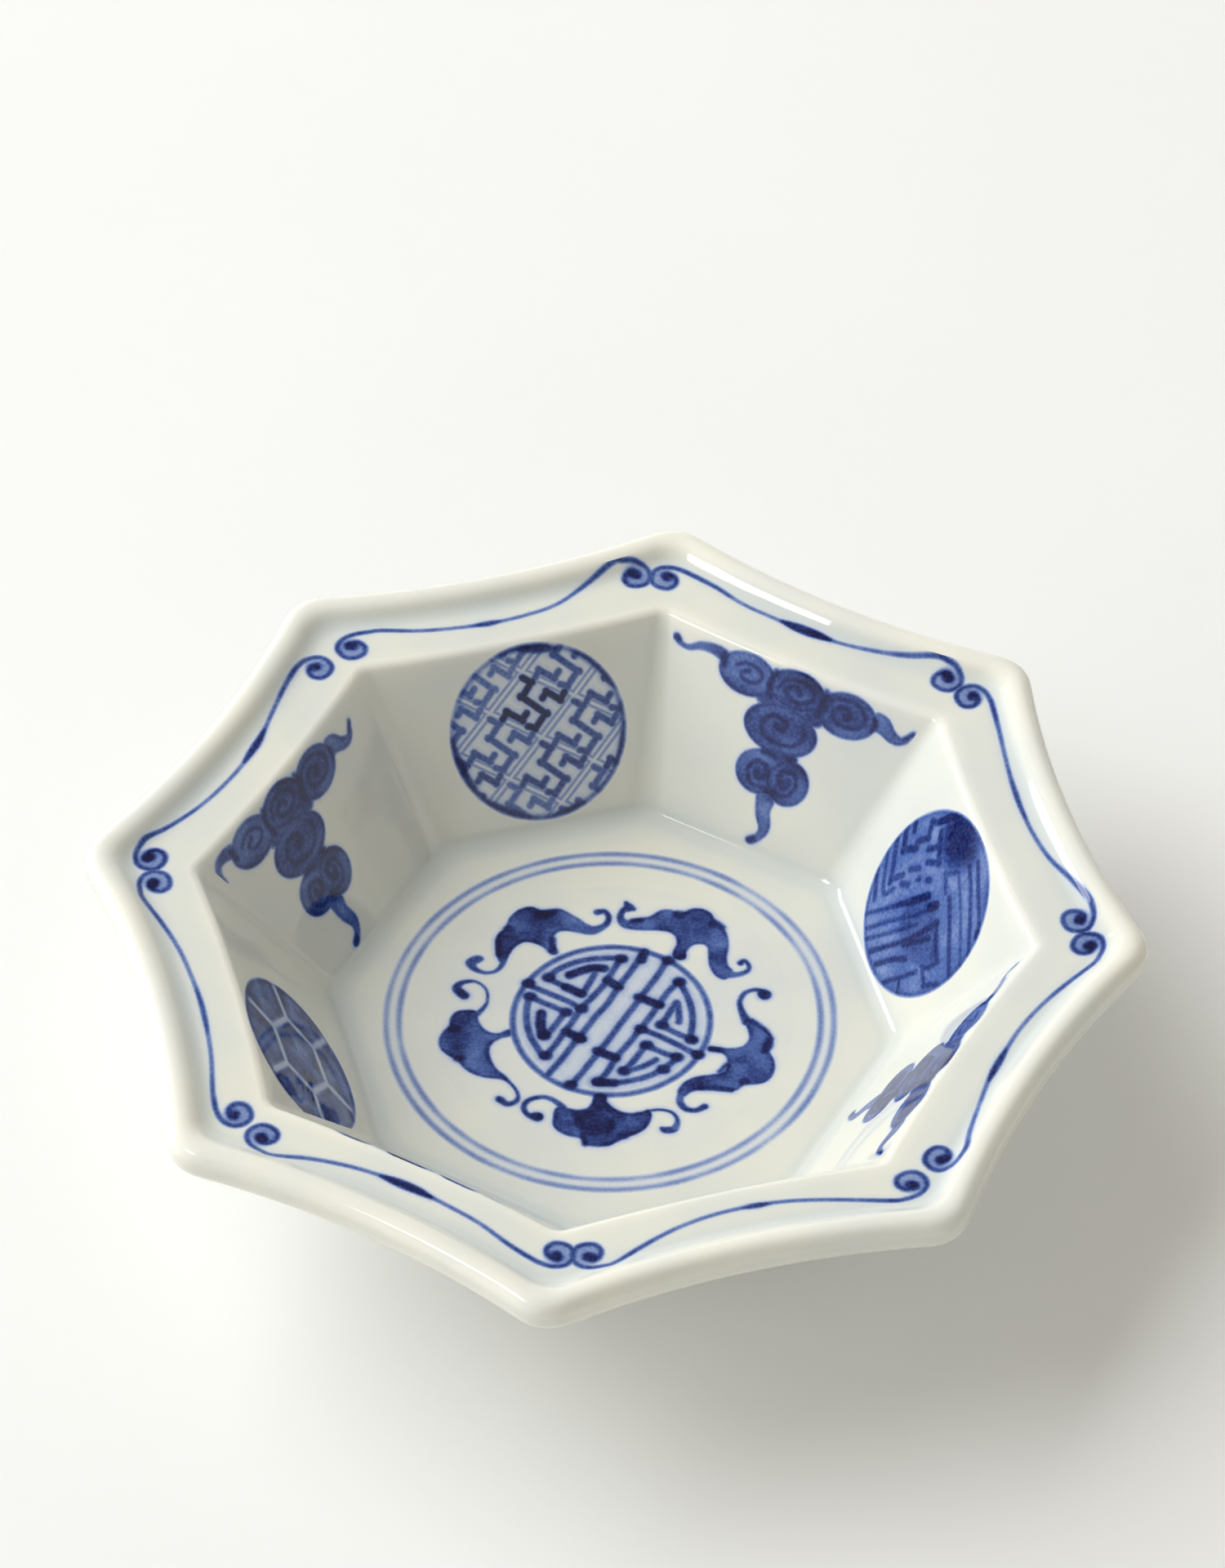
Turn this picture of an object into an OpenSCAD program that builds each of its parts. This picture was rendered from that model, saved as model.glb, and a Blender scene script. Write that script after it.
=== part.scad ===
// Octagonal porcelain serving bowl: a faceted well and a flange with a raised,
// pointed lip, lofted as one shell, standing on a turned foot ring.

/* [Rim] */
// Distance from the axis to a point of the rim, before the point is rounded
rim_r = 73.5; // [69:0.5:80]
// How far the middle of a rim side curves in between two points
rim_bow = 3; // [1:0.1:4.5]
// Length of each rim side that is taken up by the rounding of a point
rim_trim = 4.2; // [2:0.1:6]
// Width of the raised lip, from its outer edge to its inner foot
lip_w = 5.2; // [4.6:0.1:6.5]
// Height of the lip, from its underside to its crest
lip_h = 4.8; // [4:0.1:6]
// Rise of the crest of the lip over the flange
lip_rise = 1.8; // [1.2:0.1:2.4]
// Radius that rounds the outer edges of the lip
lip_round = 1.9; // [1:0.1:1.95]
// Radius of the hollow where the lip runs into the flange
lip_cove_r = 1.8; // [0.5:0.1:2.2]

/* [Flange] */
// Distance from the axis to a corner of the crease between flange and well
crease_r = 57.5; // [53:0.5:60]
// How far the middle of a crease side curves in
crease_bow = 0.9; // [0:0.1:1.6]
// Length of each crease side that is taken up by the rounding of a corner
crease_trim = 1.3; // [0.5:0.1:3]
// Radius that rounds the crease
crease_round = 1.3; // [0.5:0.1:3]
// Fall of the flange from the lip to the crease
flange_fall = 0.4; // [0:0.1:1]
// Thickness of the flange
flange_t = 3.8; // [3:0.1:5]
// Radius of the hollow between the flange and the outside of the wall
under_cove_r = 4; // [1:0.1:6]

/* [Well] */
// Depth of the well, from the crease to the floor
well_depth = 22.8; // [18:0.1:28]
// Distance from the axis to a corner where the panels meet the floor
floor_r = 39; // [35:0.5:42]
// Length of each floor side that is taken up by the rounding of a corner
floor_trim = 2.4; // [1:0.1:5]
// Radius of the hollow between the panels and the floor
floor_cove_r = 3.2; // [1:0.1:6]
// Thickness of the wall behind a panel
wall_t = 4; // [3:0.1:5]
// Thickness of the floor
floor_t = 4.5; // [3.5:0.1:6]
// Radius that rounds the outer edge of the underside
base_round = 3; // [1:0.1:4]

/* [Foot] */
// Height of the foot ring
foot_h = 6; // [4.5:0.1:9]
// Width of the foot ring where it joins the underside
foot_w = 4.2; // [3.2:0.1:6]
// Distance of the foot ring in from the edge of the flat underside
foot_inset = 1.4; // [0.5:0.1:4]
// How far each face of the foot ring leans in towards its rest
foot_lean = 0.5; // [0:0.1:0.8]
// Radius that rounds the edges of the rest
foot_round = 0.7; // [0.3:0.1:1]

/* [Hidden] */
$fn = 96;

// The outline is a regular figure whose corners lie on the X and Y axes and between them
sides = 8;
half_angle = 180 / sides;

// Facets along one side and round one corner, and the most degrees in one facet of a fillet
side_steps = 6;
corner_steps = 3;
facet_angle = 18;

// Slope of the inner face of the lip
lip_slope = 45;

// Levels, from the floor up
floor_z = foot_h + floor_t;
crease_z = floor_z + well_depth;
flange_z = crease_z + flange_fall;
crest_z = flange_z + lip_rise;

// Distances from the axis to the middle of a side
floor_a = floor_r * cos(half_angle);
crease_a = crease_r * cos(half_angle) - crease_bow;
rim_a = rim_r * cos(half_angle) - rim_bow;
lip_foot_a = rim_a - lip_w;
lip_top_a = lip_foot_a + lip_rise / tan(lip_slope);

// The outside of the wall lies parallel to the panel, one wall thickness away
panel = [crease_a - floor_a, crease_z - floor_z];
wall_shift = wall_t * [panel.y, -panel.x] / norm(panel);
function outside_a(z) = floor_a + wall_shift.x + (z - floor_z - wall_shift.y) * panel.x / panel.y;

function unit(v) = v / norm(v);
function turned(p, angle) = [p.x * cos(angle) - p.y * sin(angle), p.x * sin(angle) + p.y * cos(angle)];

// Arc of radius r that rounds the corner at b of the line through a, b and c
function fillet(a, b, c, r) =
    let (
        back = unit(a - b),
        ahead = unit(c - b),
        turn = 180 - acos(back * ahead),
        sense = sign(cross(-back, ahead)),
        steps = ceil(turn / facet_angle),
        start = b + back * r * tan(turn / 2),
        centre = b + unit(back + ahead) * r / cos(turn / 2)
    )
    r == 0 ? [b] : [for (i = [0:steps]) centre + turned(start - centre, sense * turn * i / steps)];

// Section through the middle of a side: distance from the axis, level and rounding radius
section = [
    [0, floor_z, 0],
    [floor_a, floor_z, floor_cove_r],
    [crease_a, crease_z, crease_round],
    [lip_foot_a, flange_z, lip_cove_r],
    [lip_top_a, crest_z, lip_round],
    [rim_a, crest_z, lip_round],
    [rim_a, crest_z - lip_h, lip_round],
    [lip_foot_a, flange_z - flange_t, 0],
    [outside_a(crease_z - flange_t), crease_z - flange_t, under_cove_r],
    [outside_a(foot_h), foot_h, base_round],
    [0, foot_h, 0]
];
function place(knot) = [knot[0], knot[1]];
stations = [
    for (i = [1:len(section) - 2])
        each fillet(place(section[i - 1]), place(section[i]), place(section[i + 1]), section[i][2])
];

// Outline at one station: bowed sides joined by rounded corners, in order round the axis
function outline(station) =
    let (
        a = station.x,
        bow = lookup(a, [[floor_a, 0], [crease_a, crease_bow], [rim_a, rim_bow]]),
        trim = lookup(a, [[floor_a, floor_trim], [crease_a, crease_trim], [rim_a, rim_trim]]),
        half = (a + bow) * tan(half_angle),
        reach = half - trim,
        end = a + bow * (reach / half) ^ 2
    )
    [
        for (k = [0:sides - 1])
            let (
                mid = half_angle * (2 * k + 1),
                from = turned([end, reach], mid),
                apex = turned([a + bow, half], mid),
                to = turned([end, -reach], mid + 2 * half_angle)
            )
            each concat(
                [
                    for (i = [0:side_steps])
                        let (x = reach * (2 * i / side_steps - 1))
                        turned([a + bow * (x / half) ^ 2, x], mid)
                ],
                [
                    for (j = [1:corner_steps - 1])
                        let (t = j / corner_steps)
                        from * (1 - t) ^ 2 + apex * 2 * t * (1 - t) + to * t ^ 2
                ]
            )
    ];

// Skin over a row of outlines that runs from the floor, over the rim, to the underside
module loft(rows) {
    ring = sides * (side_steps + corner_steps);
    points = [for (row = rows) for (p = outline(row)) [p.x, p.y, row.y]];
    floor_face = [for (i = [ring - 1:-1:0]) i];
    under_face = [for (i = [0:ring - 1]) (len(rows) - 1) * ring + i];
    skin = [
        for (r = [0:len(rows) - 2])
            for (i = [0:ring - 1])
                let (
                    a = r * ring + i,
                    b = r * ring + (i + 1) % ring
                )
                each [[a, b, b + ring], [a, b + ring, a + ring]]
    ];
    polyhedron(points, concat([floor_face], skin, [under_face]), convexity = 6);
}

// The foot ring stands under the flat of the underside
foot_a = stations[len(stations) - 1].x - foot_inset;

module bowl_body() {
    color("#f3f5f4")
        loft(stations);
}

module foot_ring() {
    outer_top = [foot_a, foot_h];
    outer_rest = [foot_a - foot_lean, 0];
    inner_rest = [foot_a - foot_w + foot_lean, 0];
    inner_top = [foot_a - foot_w, foot_h];
    color("#e9e5da")
        rotate_extrude()
            polygon(concat(
                [outer_top],
                fillet(outer_top, outer_rest, inner_rest, foot_round),
                fillet(outer_rest, inner_rest, inner_top, foot_round),
                [inner_top]
            ));
}

bowl_body();
foot_ring();
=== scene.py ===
import math
import bpy
import numpy as np
from mathutils import Matrix, Vector


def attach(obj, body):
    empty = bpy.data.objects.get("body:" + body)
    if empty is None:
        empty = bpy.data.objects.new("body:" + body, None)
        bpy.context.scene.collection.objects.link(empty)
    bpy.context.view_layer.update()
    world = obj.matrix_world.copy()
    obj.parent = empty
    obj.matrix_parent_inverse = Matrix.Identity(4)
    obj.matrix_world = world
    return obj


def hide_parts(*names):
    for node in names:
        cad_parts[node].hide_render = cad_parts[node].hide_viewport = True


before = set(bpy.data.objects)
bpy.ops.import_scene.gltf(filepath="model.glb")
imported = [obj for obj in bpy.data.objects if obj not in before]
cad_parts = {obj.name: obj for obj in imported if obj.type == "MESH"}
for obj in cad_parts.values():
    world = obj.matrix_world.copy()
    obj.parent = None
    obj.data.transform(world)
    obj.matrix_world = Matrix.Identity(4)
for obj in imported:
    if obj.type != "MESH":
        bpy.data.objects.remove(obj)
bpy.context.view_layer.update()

# Sizes of the bowl in millimetres, as in the part's source but for the crease and the lip's inner face
MM = 0.001
SIDES = 8
HALF = math.pi / SIDES
RIM_R, RIM_BOW, RIM_TRIM = 73.5, 3.0, 4.2
LIP_W, LIP_H, LIP_RISE, LIP_ROUND = 5.2, 4.8, 1.8, 1.9
CREASE_R, CREASE_BOW, CREASE_TRIM, CREASE_ROUND = 57.5, 0.9, 1.3, 1.8
FLANGE_FALL, FLANGE_T, UNDER_COVE = 0.4, 3.8, 4.0
WELL_DEPTH, FLOOR_R, FLOOR_TRIM, FLOOR_COVE = 22.8, 39.0, 2.4, 3.2
WALL_T, FLOOR_T, BASE_ROUND = 4.0, 4.5, 3.0
FOOT_H, FOOT_W, FOOT_INSET, FOOT_LEAN, FOOT_ROUND = 6.0, 4.2, 1.4, 0.5, 0.7

# Levels, and distances from the axis to the middle of a side
FLOOR_Z = FOOT_H + FLOOR_T
CREASE_Z = FLOOR_Z + WELL_DEPTH
FLANGE_Z = CREASE_Z + FLANGE_FALL
CREST_Z = FLANGE_Z + LIP_RISE
FLOOR_A = FLOOR_R * math.cos(HALF)
CREASE_A = CREASE_R * math.cos(HALF) - CREASE_BOW
RIM_A = RIM_R * math.cos(HALF) - RIM_BOW
LIP_FOOT_A = RIM_A - LIP_W
# The inner face of the lip leans more and is rounder than in the part's source, so that it draws a thin
# streak, and the crease is rounder too
LIP_RUN, LIP_CREST, LIP_HOLLOW = 2.3, 2.8, 3.5
LIP_TOP_A = LIP_FOOT_A + LIP_RUN
PANEL = np.array([CREASE_A - FLOOR_A, WELL_DEPTH])
PANEL_L = np.hypot(*PANEL)
WALL_SHIFT = WALL_T * np.array([PANEL[1], -PANEL[0]]) / PANEL_L
# A fillet of radius 1 between the panel, or the wall, and the level takes up this much of each
PANEL_BEND = math.tan(math.atan2(PANEL[1], PANEL[0]) / 2)

# Radius of the plain middle of floor and underside, and the reach over which the glaze levels out
MIDDLE_A, GLAZE_REACH = 4.0, 0.7
# The most of its distance from the axis that the rounding of a corner may take up
MOST_TRIM = 0.3
# Degrees in one facet of a fillet, steps along a straight leg, and steps along a side and round a corner
BODY_FACET, FOOT_FACET, LEG_STEPS = 5.0, 9.0, 9
BODY_STEPS, RIM_STEPS, FOOT_TURNS = (56, 8), (164, 20), 256
TINY = 1e-9

# The painting lies in the glaze: its skin is this far over the clay, dips just under it at its edge over a
# share of the way in, and its hidden border lies deeper
SKIN, EDGE, ROOT, SKIN_FADE = 0.012, -0.004, -0.35, 0.07
# Millimetres in from the edge that count as the whole way in, on a ring and on a cloud's sheet
BAND_EDGE, CLOUD_EDGE = 10, 14
# Margin of a flat map, and of each strip in it
MAP_EDGE, STRIP_EDGE = 0.01, 0.05


def outside_a(z):
    """Distance from the axis to the outside of the wall at level z: the panel's slope, one wall away."""
    return FLOOR_A + WALL_SHIFT[0] + (z - FLOOR_Z - WALL_SHIFT[1]) * PANEL[0] / PANEL[1]


def rounded(knots, facet):
    """Line through knots (distance, level, radius): a knot with a radius becomes the arc that touches
    both its legs, in steps of at most facet degrees, and each straight leg between two arcs gets points
    crowded to its ends by a cosine. Third column: 1 in a hollow, -1 on an edge, 0 on a straight leg."""
    arcs = []
    for before, knot, after in zip(knots[:-2], knots[1:-1], knots[2:]):
        corner, radius = np.array(knot[:2]), knot[2]
        back, ahead = (np.array(end[:2]) - corner for end in (before, after))
        back, ahead = back / np.linalg.norm(back), ahead / np.linalg.norm(ahead)
        turn = math.pi - math.acos(np.dot(back, ahead))
        sense = np.sign(back[1] * ahead[0] - back[0] * ahead[1])
        if radius == 0:
            arcs.append(np.array([[*corner, 0.0]]))
            continue
        middle = corner + (back + ahead) / np.linalg.norm(back + ahead) * radius / math.cos(turn / 2)
        spoke = corner + back * radius * math.tan(turn / 2) - middle
        swing = np.linspace(0, turn, math.ceil(math.degrees(turn) / facet) + 1) * sense
        across = middle[0] + spoke[0] * np.cos(swing) - spoke[1] * np.sin(swing)
        up = middle[1] + spoke[0] * np.sin(swing) + spoke[1] * np.cos(swing)
        arcs.append(np.stack([across, up, np.full_like(across, sense)], axis=1))
    share = (0.5 - 0.5 * np.cos(np.linspace(0, math.pi, LEG_STEPS + 1)))[1:-1, None]
    row = [np.array([[*knots[0][:2], 0.0]]), *arcs, np.array([[*knots[-1][:2], 0.0]])]
    legs = [
        np.column_stack([(1 - share) * one[-1, :2] + share * two[0, :2], 0 * share])
        for one, two in zip(row[:-1], row[1:])
    ]
    return np.concatenate([part for pair in zip(row[:-1], legs) for part in pair] + [row[-1]])


def spread(values, length, reach):
    """Blurs values along a line: each becomes the mean of all, weighted by a bell curve of the distance."""
    weight = np.exp(-0.5 * ((length[:, None] - length[None, :]) / reach) ** 2) * np.gradient(length)
    return weight @ values / weight.sum(axis=1)


BODY_KNOTS = [
    (MIDDLE_A, FLOOR_Z, 0),
    (FLOOR_A, FLOOR_Z, FLOOR_COVE),
    (CREASE_A, CREASE_Z, CREASE_ROUND),
    (LIP_FOOT_A, FLANGE_Z, LIP_HOLLOW),
    (LIP_TOP_A, CREST_Z, LIP_CREST),
    (RIM_A, CREST_Z, LIP_ROUND),
    (RIM_A, CREST_Z - LIP_H, LIP_ROUND),
    (LIP_FOOT_A, FLANGE_Z - FLANGE_T, 0),
    (outside_a(CREASE_Z - FLANGE_T), CREASE_Z - FLANGE_T, UNDER_COVE),
    (outside_a(FOOT_H), FOOT_H, BASE_ROUND),
    (MIDDLE_A, FOOT_H, 0),
]
section = rounded(BODY_KNOTS, BODY_FACET)
along = np.concatenate([[0], np.cumsum(np.hypot(*np.diff(section[:, :2], axis=0).T))])
lean = np.stack([-np.gradient(section[:, 1], along), np.gradient(section[:, 0], along)], axis=1)
lean /= np.linalg.norm(lean, axis=1)[:, None]
glaze_depth = spread(section[:, 2], along, GLAZE_REACH)
# Arc length at which the straight of a panel, carried down, would meet the floor, found on the first
# places of the section, which climb from the floor
CLIMB = slice(0, 40)
COVE_TANGENT = FLOOR_COVE * PANEL_BEND
cove_top = FLOOR_Z + COVE_TANGENT * PANEL[1] / PANEL_L
PANEL_FOOT = np.interp(cove_top, section[CLIMB, 1], along[CLIMB]) - COVE_TANGENT


def side_at(a):
    """How far the middle of a side curves in, and the length that the rounding of a corner takes up, at
    mid-side distance a: straight lines between their sizes at floor, crease and rim."""
    knots = [FLOOR_A, CREASE_A, RIM_A]
    bow = np.interp(a, knots, [0, CREASE_BOW, RIM_BOW])
    return bow, np.interp(a, knots, [FLOOR_TRIM, CREASE_TRIM, RIM_TRIM])


def outline(a, side_steps, corner_steps, crowd):
    """Points round the bowl, one row for each mid-side distance a. A side is a parabola that lies
    bow further out at its ends than at its middle; a corner is the curve of second degree from
    one side's end to the next side's start that aims at the sharp corner. crowd is 1 for even steps
    along a side, or 0 for steps crowded to its ends by a cosine."""
    a = np.asarray(a, float)[:, None, None]
    bow, trim = side_at(a)
    trim = np.minimum(trim, MOST_TRIM * a)
    half = (a + bow) * math.tan(HALF)
    reach = half - trim
    even = np.linspace(-1, 1, side_steps + 1)
    step = crowd * even + (1 - crowd) * np.sin(even * math.pi / 2)
    side_out = a + bow * (reach * step / half) ** 2
    side_over = reach * step + 0 * a
    end = a + bow * (reach / half) ** 2
    t = np.linspace(0, 1, corner_steps + 1)[1:-1]
    next_out = end * math.cos(2 * HALF) + reach * math.sin(2 * HALF)
    next_over = end * math.sin(2 * HALF) - reach * math.cos(2 * HALF)
    turn_out = end * (1 - t) ** 2 + (a + bow) * 2 * t * (1 - t) + next_out * t ** 2
    turn_over = reach * (1 - t) ** 2 + half * 2 * t * (1 - t) + next_over * t ** 2
    out = np.concatenate([side_out, turn_out], axis=2)
    over = np.concatenate([side_over, turn_over], axis=2)
    middle = (HALF * (2 * np.arange(SIDES) + 1))[None, :, None]
    x = out * np.cos(middle) - over * np.sin(middle)
    y = out * np.sin(middle) + over * np.cos(middle)
    return x.reshape(len(a), -1), y.reshape(len(a), -1)


def inside_at(length, lift):
    """Distance from the axis and level of the section at an arc length, moved out of the clay by lift."""
    a = np.interp(length, along, section[:, 0]) + lift * np.interp(length, along, lean[:, 0])
    z = np.interp(length, along, section[:, 1]) + lift * np.interp(length, along, lean[:, 1])
    return a, z


def skin_lift(share):
    """Height of a painting's skin over the clay: it falls to just under the clay as share, the way in from
    the edge of its grid, falls to 0."""
    return EDGE + (SKIN - EDGE) * np.clip(share / SKIN_FADE, 0, 1)


def on_panel(side, u, v, lift):
    """Place on the inside of one side: v runs up the section from the foot of the panel, and u to the
    right as seen from the axis; the side's bow bends it as it bends the outline."""
    a, z = inside_at(v + PANEL_FOOT, lift)
    bow, _ = side_at(a)
    out = a + bow * (u / ((a + bow) * math.tan(HALF))) ** 2
    middle = HALF * (2 * side + 1)
    x = out * math.cos(middle) + u * math.sin(middle)
    y = out * math.sin(middle) - u * math.cos(middle)
    return np.stack([x, y, z], axis=-1)


def quads(rows, columns, wrap, close=False):
    """Faces of a grid of points numbered row by row, turned so that they look to the side from which the
    rows and then the columns run anticlockwise; wrap joins the last column to the first, and close the
    last row to the first."""
    r = np.arange(rows if close else rows - 1)[:, None]
    c = np.arange(columns if wrap else columns - 1)[None, :]
    s, d = (r + 1) % rows * columns, (c + 1) % columns
    return np.stack([r * columns + c, s + c, s + d, r * columns + d], axis=-1).reshape(-1, 4)


def spots(x, y, z):
    """Places from x, y and a level, which may be one for all, one for each row or one for each place."""
    return np.stack([x, y, np.broadcast_to(z, x.shape)], axis=-1)


def make_piece(name, points, faces, flat_from, values, flat_map=None):
    """Puts points in millimetres and faces into a mesh, smooth up to face number flat_from, with its named
    values for the first points and 0 for the rest, and with its own map, corner by corner, where one is
    given; rides it on the body."""
    mesh = bpy.data.meshes.new(name)
    mesh.from_pydata((np.asarray(points) * MM).tolist(), [], faces)
    mesh.polygons.foreach_set("use_smooth", np.arange(len(faces)) < flat_from)
    for label, value in values.items():
        value = np.pad(np.ravel(value), (0, len(points) - np.size(value))).astype(np.float32)
        mesh.attributes.new(label, "FLOAT", "POINT").data.foreach_set("value", value)
    if flat_map is not None:
        mesh.uv_layers.new(name="OFBake").data.foreach_set("uv", flat_map.astype(np.float32).ravel())
    mesh.update()
    piece = bpy.data.objects.new(name, mesh)
    bpy.context.collection.objects.link(piece)
    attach(piece, "root")
    return piece


def make_shell(name, x, y, z, values):
    """Closed skin over rings of points that run from the floor over the rim to the underside: quads
    between rings, and one flat face over the first and the last ring."""
    rows, columns = x.shape
    first = np.arange(columns)
    last = ((rows - 1) * columns + first)[::-1]
    faces = quads(rows, columns, True).tolist() + [first.tolist(), last.tolist()]
    values = {label: np.repeat(value, columns) for label, value in values.items()}
    return make_piece(name, spots(x, y, z).reshape(-1, 3), faces, len(faces), values)


def make_ring(name, grid, smooth_rows, values, flat_map=None):
    """Closed ring: each row of points goes once round the axis, the rows follow each other round its
    section, and the last is joined to the first. It is smooth up to row smooth_rows."""
    rows, columns = grid.shape[:2]
    faces = quads(rows, columns, True, True).tolist()
    return make_piece(name, grid.reshape(-1, 3), faces, smooth_rows * columns, values, flat_map)


def make_painting(name, skin, root, values):
    """Thin closed slab that carries a painting: a square grid of points for its skin, a wall down
    to the same border inside the clay, and a fan from that border to its own middle. Its map is the
    grid itself, with the hidden faces on its border."""
    rows, columns = skin.shape[:2]
    number = np.arange(rows * columns).reshape(rows, columns)
    border = np.concatenate([number[0, :-1], number[:-1, -1], number[-1, :0:-1], number[:0:-1, 0]])
    low = rows * columns + np.arange(len(border))
    deep = root.reshape(-1, 3)[border]
    points = np.concatenate([skin.reshape(-1, 3), deep, deep.mean(axis=0)[None]])
    top = quads(rows, columns, False)[:, ::-1]
    wall = np.stack([border, low, np.roll(low, -1), np.roll(border, -1)], axis=1)
    fan = np.stack([low, np.full(len(low), rows * columns + len(low)), np.roll(low, -1)], axis=1)
    faces = top.tolist() + wall.tolist() + fan.tolist()
    across, up = np.meshgrid(*(np.linspace(MAP_EDGE, 1 - MAP_EDGE, many) for many in (columns, rows)))
    flat = np.stack([across.ravel(), up.ravel()], axis=1)
    corners = np.concatenate([part.ravel() for part in (top, wall, fan)])
    flat_map = np.concatenate([flat, flat[border], flat[border[:1]]])[corners]
    return make_piece(name, points, faces, len(top), values, flat_map)


def make_band(name, skin, root, values):
    """Thin closed ring that carries a painting: the rows of its skin run outwards, and a few rows inside the
    clay close it from below. Its map lays the sides one over the other as straight strips, with the
    hidden faces in one point."""
    rows, columns = skin.shape[:2]
    grid = np.concatenate([skin, root[::-1]])
    strip = columns // SIDES
    row, place, corner = np.meshgrid(*(np.arange(many) for many in (rows - 1, columns, 4)), indexing="ij")
    across = (place % strip + np.array([0, 0, 1, 1])[corner]) / strip
    up = (row + np.array([0, 1, 1, 0])[corner]) / (rows - 1)
    across = MAP_EDGE + (1 - 2 * MAP_EDGE) * across
    up = (place // strip + STRIP_EDGE + (1 - 2 * STRIP_EDGE) * up) / SIDES
    flat_map = np.zeros((4 * len(grid) * columns, 2))
    flat_map[:across.size] = np.stack([across.ravel(), up.ravel()], axis=1)
    return make_ring(name, grid, rows - 1, values, flat_map)


# Brushwork: every function below gives the density of cobalt, 0 to 1, at the points x, y
def smooth_line(points, closed=False, steps=7):
    """Curve through the points (columns: place, then any widths and tones): between two points it is
    the cubic whose slope at each is half the way from the point before to the point after."""
    p = np.asarray(points, float)
    if closed:
        p = np.concatenate([p[-1:], p, p[:2]])
    else:
        p = np.concatenate([2 * p[:1] - p[1:2], p, 2 * p[-1:] - p[-2:-1]])
    t = np.linspace(0, 1, steps, endpoint=False)[None, :, None]
    a, b, c, d = (p[i:len(p) - 3 + i, None, :] for i in range(4))
    curve = 0.5 * (2 * b + (c - a) * t + (2 * a - 5 * b + 4 * c - d) * t ** 2
                   + (3 * b - a - 3 * c + d) * t ** 3)
    curve = curve.reshape(-1, p.shape[1])
    return curve if closed else np.concatenate([curve, p[-2:-1]])


def fade(depth, wide):
    """0 to 1 across an edge: a straight rise over the given width, with the edge in its middle."""
    return np.clip(.5 + depth / wide, 0, 1)


def bleed(gap):
    """Share of a tone that the glaze carries out from an edge: a bell curve of the distance beyond it."""
    return 0.1 * np.exp(-(np.maximum(gap, 0) / 0.6) ** 2)


def brush(x, y, points, width=0.8, tone=0.65, soft=0.3):
    """One stroke: the distance from each place to the nearest short piece of the curve, less half its
    width there, fades the tone out over the soft edge, with a faint bleed into the glaze beyond it.
    width and tone may change from point to point."""
    points = np.asarray(points, float)
    many = np.ones((len(points), 1))
    if points.shape[1] == 2:
        points = np.hstack([points, np.reshape(width, (-1, 1)) * many])
    points = np.hstack([points, np.reshape(tone, (-1, 1)) * many])
    curve = smooth_line(points)
    reach = curve[:, 2].max() / 2 + soft + 1
    low, high = curve[:, :2].min(axis=0) - reach, curve[:, :2].max(axis=0) + reach
    near = (x > low[0]) & (x < high[0]) & (y > low[1]) & (y < high[1])
    density = np.zeros_like(x)
    place = np.stack([x[near], y[near]], axis=1)[:, None, :]
    start, leg = curve[None, :-1], np.diff(curve, axis=0)[None]
    size = np.maximum((leg[..., :2] ** 2).sum(axis=-1), TINY)
    t = np.clip(((place - start[..., :2]) * leg[..., :2]).sum(axis=-1) / size, 0, 1)
    gap = np.linalg.norm(place - start[..., :2] - t[..., None] * leg[..., :2], axis=-1)
    gap -= (start[..., 2] + t * leg[..., 2]) / 2
    best = gap.argmin(axis=1)[:, None]
    ink = np.take_along_axis(start[..., 3] + t * leg[..., 3], best, 1)[:, 0]
    gap = np.take_along_axis(gap, best, 1)[:, 0]
    edge = fade(-gap, 2 * soft)
    density[near] = ink * np.maximum(edge * edge * (3 - 2 * edge), bleed(gap))
    return density


def depth_in(x, y, points, steps=5):
    """How deep each place lies inside the smooth closed outline through the points, negative outside:
    the distance to its nearest short piece, with the sign from how often a ray crosses the outline."""
    curve = smooth_line(np.asarray(points, float)[:, :2], True, steps)
    after = np.roll(curve, -1, axis=0)
    near = (x > curve[:, 0].min() - 1) & (x < curve[:, 0].max() + 1)
    near &= (y > curve[:, 1].min() - 1) & (y < curve[:, 1].max() + 1)
    px, py = x[near][:, None], y[near][:, None]
    ax, ay, bx, by = curve[None, :, 0], curve[None, :, 1], after[None, :, 0], after[None, :, 1]
    size = np.maximum((bx - ax) ** 2 + (by - ay) ** 2, TINY)
    t = np.clip(((px - ax) * (bx - ax) + (py - ay) * (by - ay)) / size, 0, 1)
    gap = np.hypot(px - ax - t * (bx - ax), py - ay - t * (by - ay)).min(axis=1)
    rise = np.where(np.abs(by - ay) < TINY, TINY, by - ay)
    cross = ((ay > py) != (by > py)) & (px < ax + (py - ay) * (bx - ax) / rise)
    depth = np.full_like(x, -1.0)
    depth[near] = np.where(cross.sum(axis=1) % 2 == 1, gap, -gap)
    return depth


def pooled(depth, tone, pool, soft=0.3):
    """Wash of one tone that fades over its soft edge and gathers, by pool, in a line just inside it."""
    edge = fade(depth, 2 * soft)
    ink = tone + pool * np.exp(-(np.maximum(depth, 0) / 0.45) ** 2)
    return ink * np.maximum(edge * edge * (3 - 2 * edge), bleed(-depth))


def mottle(x, y, size, seed):
    """Even clouds from -1 to 1: random heights on a lattice of the given size, eased between its knots."""
    knots = np.random.default_rng(seed).uniform(-1, 1, (64, 64))
    i, j = np.floor(x / size).astype(int), np.floor(y / size).astype(int)
    s, t = x / size - i, y / size - j
    s, t = s * s * (3 - 2 * s), t * t * (3 - 2 * t)
    low = knots[i % 64, j % 64] * (1 - s) + knots[(i + 1) % 64, j % 64] * s
    high = knots[i % 64, (j + 1) % 64] * (1 - s) + knots[(i + 1) % 64, (j + 1) % 64] * s
    return low * (1 - t) + high * t


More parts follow.
